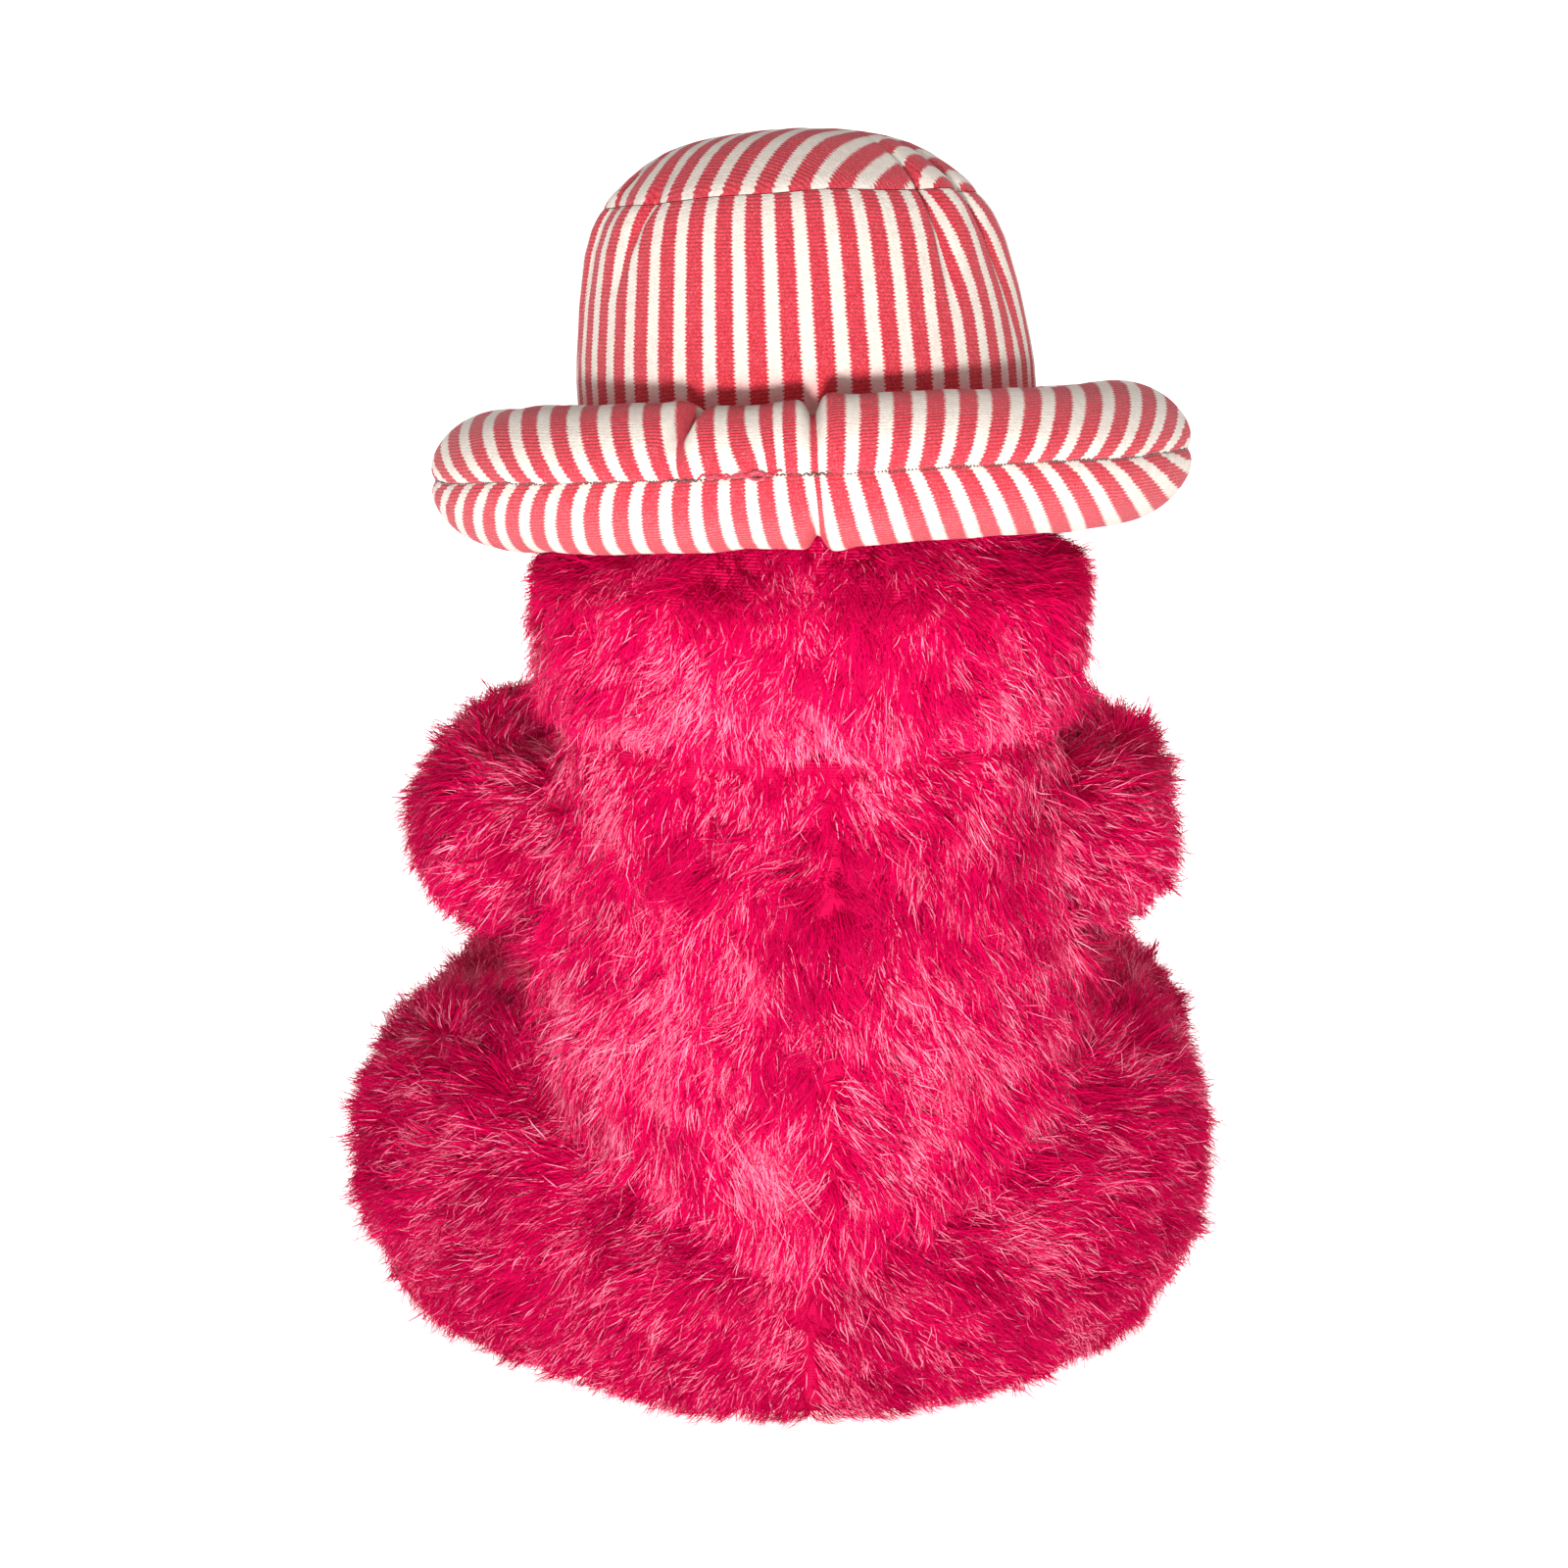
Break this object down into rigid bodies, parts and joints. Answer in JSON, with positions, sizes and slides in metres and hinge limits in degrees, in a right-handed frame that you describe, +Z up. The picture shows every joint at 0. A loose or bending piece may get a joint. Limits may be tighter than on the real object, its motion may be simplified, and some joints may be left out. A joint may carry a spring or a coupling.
{
  "type": "cymbal-playing plush monkey",
  "caption": "Seated plush monkey in long crimson fur and a striped padded hat; a battery drive in the chest swings its arms so that the small brass cymbals meet.",
  "frame": {"origin": "on the floor, under the middle of the toy's outline; the neck axis is 6.6 mm to the toy's right of it and 28.7 mm behind it", "axes": "+Z up, the toy faces -Y, its left side is +X"},
  "size_m": [0.2472, 0.2482, 0.3247],
  "materials": {
    "crimson_fur": "long crimson pile fabric over polyester stuffing",
    "tan_plush": "short tan plush",
    "striped_velour": "red and ivory striped velour over foam or stuffing",
    "black_plastic": "glossy black",
    "brass_plating": "bright spun brass",
    "steel": "plain steel",
    "white_plastic": "moulded, satin",
    "gear_plastic": "acetal",
    "circuit_board": "green board",
    "battery_sleeve": "plain sleeve, no print",
    "speaker_cone": "black paper cone"
  },
  "bodies": {
    "body": {"torso_plush": "crimson_fur", "left_leg_plush": "crimson_fur", "right_leg_plush": "crimson_fur", "left_sole": "tan_plush", "right_sole": "tan_plush", "switch_case": "black_plastic", "left_lever_shaft": "steel", "right_lever_shaft": "steel", "first_gear_axle": "steel", "second_gear_axle": "steel", "crank_axle": "steel", "gearbox_screw_1": "steel", "gearbox_screw_2": "steel", "gearbox_screw_3": "steel", "motor": "steel", "cell_spring_1": "steel", "cell_spring_2": "steel", "cell_spring_3": "steel", "battery_door_screw": "steel", "gearbox_tray": "white_plastic", "gearbox_lid": "white_plastic", "neck_post": "white_plastic", "battery_box": "white_plastic", "battery_door": "white_plastic", "button_case": "white_plastic", "circuit_board": "circuit_board", "cell_1": "battery_sleeve", "cell_2": "battery_sleeve", "cell_3": "battery_sleeve", "speaker": "speaker_cone"},
    "left_arm": {"left_arm_lever": "gear_plastic", "left_arm_rod": "white_plastic", "left_arm_plush": "crimson_fur", "left_hand": "tan_plush", "left_cymbal": "brass_plating", "left_cymbal_rivet": "steel"},
    "right_arm": {"right_arm_lever": "gear_plastic", "right_arm_rod": "white_plastic", "right_arm_plush": "crimson_fur", "right_hand": "tan_plush", "right_cymbal": "brass_plating", "right_cymbal_rivet": "steel"},
    "head": {"head_plush": "crimson_fur", "face_panel": "tan_plush", "muzzle": "tan_plush", "nose": "black_plastic", "left_eye": "black_plastic", "right_eye": "black_plastic", "left_ear": "tan_plush", "right_ear": "tan_plush", "hat_crown": "striped_velour", "hat_brim": "striped_velour"},
    "crank": {"crank_gear": "gear_plastic", "crank_pin": "steel"},
    "second_gear": {"second_compound_gear": "gear_plastic"},
    "first_gear": {"first_compound_gear": "gear_plastic"},
    "motor_drive": {"motor_pinion": "brass_plating"},
    "button": {"button_cap": "white_plastic"},
    "switch": {"switch_knob": "white_plastic"}
  },
  "joints": [
    {"name": "left_arm_swing", "type": "hinge", "parent": "body", "child": "left_arm", "pos_m": [0.02339, 0.02866, 0.1443], "axis": [0, 0, -1], "range_deg": [-3, 13]},
    {"name": "right_arm_swing", "type": "hinge", "parent": "body", "child": "right_arm", "pos_m": [-0.03661, 0.02866, 0.1443], "axis": [0, 0, -1], "range_deg": [-13, 3]},
    {"name": "head_turn", "type": "hinge", "parent": "body", "child": "head", "pos_m": [-0.00661, 0.02866, 0.175], "axis": [0, 0, 1], "range_deg": [-15, 15]},
    {"name": "crank_turn", "type": "hinge", "parent": "body", "child": "crank", "pos_m": [0.02339, 0.05666, 0.13805], "axis": [0, 0, 1], "continuous": true},
    {"name": "second_gear_turn", "type": "hinge", "parent": "body", "child": "second_gear", "pos_m": [0.01089, 0.05666, 0.13495], "axis": [0, 0, 1], "continuous": true},
    {"name": "first_gear_turn", "type": "hinge", "parent": "body", "child": "first_gear", "pos_m": [-0.00161, 0.05666, 0.13185], "axis": [0, 0, 1], "continuous": true},
    {"name": "motor_turn", "type": "hinge", "parent": "body", "child": "motor_drive", "pos_m": [-0.01411, 0.05666, 0.13185], "axis": [0, 0, 1], "continuous": true},
    {"name": "button_press", "type": "slide", "parent": "body", "child": "button", "axis": [0, 1, 0], "range_m": [0, 0.002], "stiffness_N_per_m": 300},
    {"name": "switch_slide", "type": "slide", "parent": "body", "child": "switch", "axis": [1, 0, 0], "range_m": [0, 0.004]}
  ],
  "couplings": [
    {"joint": "right_arm_swing", "follows": "left_arm_swing", "ratio": -1},
    {"joint": "second_gear_turn", "follows": "crank_turn", "ratio": -4},
    {"joint": "first_gear_turn", "follows": "crank_turn", "ratio": 16},
    {"joint": "motor_turn", "follows": "crank_turn", "ratio": -64}
  ]
}
